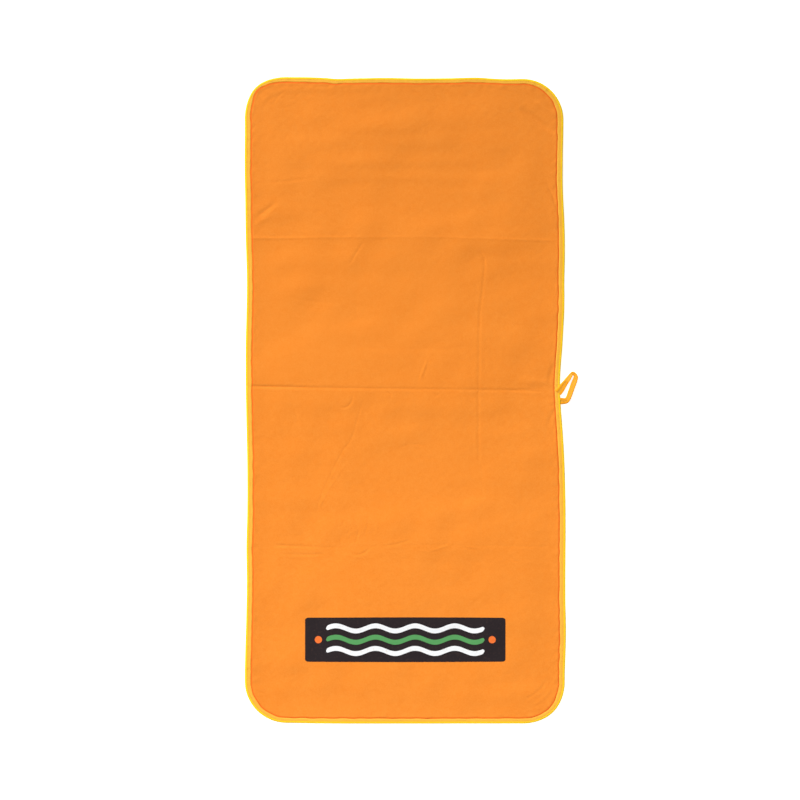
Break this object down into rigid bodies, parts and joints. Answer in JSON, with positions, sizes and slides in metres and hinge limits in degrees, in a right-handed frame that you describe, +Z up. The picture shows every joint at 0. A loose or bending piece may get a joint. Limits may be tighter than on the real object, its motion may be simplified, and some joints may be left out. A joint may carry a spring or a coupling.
{
  "type": "quick dry towel",
  "caption": "Thin brushed travel towel with rounded corners, fold-over tape binding sewn all round, a small side hanging loop and a plain printed panel near one end.",
  "frame": {"origin": "centre of the cloth's underside, on the surface the towel lies on", "axes": "+Y along the towel away from the printed end, +X towards the long edge that has the loop, +Z up out of the printed face"},
  "size_m": [0.4186, 0.8, 0.0022],
  "materials": {
    "cloth": "brushed microfibre suede, matt orange",
    "tape": "woven satin tape, amber yellow with a brighter turned edge",
    "thread": "polyester sewing thread, amber",
    "print_dark": "matt dark brown print film",
    "print_white": "matt white print film",
    "print_green": "matt green print film",
    "print_red": "matt orange-red print film"
  },
  "bodies": {
    "lower_panel": {"cloth_lower": "cloth", "binding_lower_left": "tape", "binding_lower_right": "tape", "front_stitches_lower_left": "thread", "front_stitches_lower_right": "thread", "back_stitches_lower_left": "thread", "back_stitches_lower_right": "thread"},
    "upper_panel": {"cloth_upper": "cloth", "binding_upper_left": "tape", "binding_upper_right": "tape", "front_stitches_upper_left": "thread", "front_stitches_upper_right": "thread", "back_stitches_upper_left": "thread", "back_stitches_upper_right": "thread"},
    "top_end": {"cloth_top_end": "cloth", "binding_top_end": "tape", "front_stitches_top_end": "thread", "back_stitches_top_end": "thread"},
    "bottom_end": {"cloth_bottom_end": "cloth", "binding_bottom_end": "tape", "front_stitches_bottom_end": "thread", "back_stitches_bottom_end": "thread", "print_panel": "print_dark", "print_wave_upper": "print_white", "print_wave_middle": "print_green", "print_wave_lower": "print_white", "print_dot_left": "print_red", "print_dot_right": "print_red"},
    "loop": {"hanging_loop": "tape", "loop_front_stitches": "thread", "loop_back_stitches": "thread"}
  },
  "joints": [
    {"name": "fold_middle", "type": "hinge", "parent": "lower_panel", "child": "upper_panel", "pos_m": [0, 0.014, 0.00835], "axis": [1, 0, 0], "range_deg": [0, 180]},
    {"name": "fold_top", "type": "hinge", "parent": "upper_panel", "child": "top_end", "pos_m": [0, 0.2085, 0.0035], "axis": [1, 0, 0], "range_deg": [0, 180]},
    {"name": "fold_bottom", "type": "hinge", "parent": "lower_panel", "child": "bottom_end", "pos_m": [0, -0.1945, 0.0035], "axis": [-1, 0, 0], "range_deg": [0, 180]},
    {"name": "loop_swing", "type": "hinge", "parent": "lower_panel", "child": "loop", "pos_m": [0.1983, 0, 0.001], "axis": [0, -1, 0], "range_deg": [0, 90]}
  ]
}
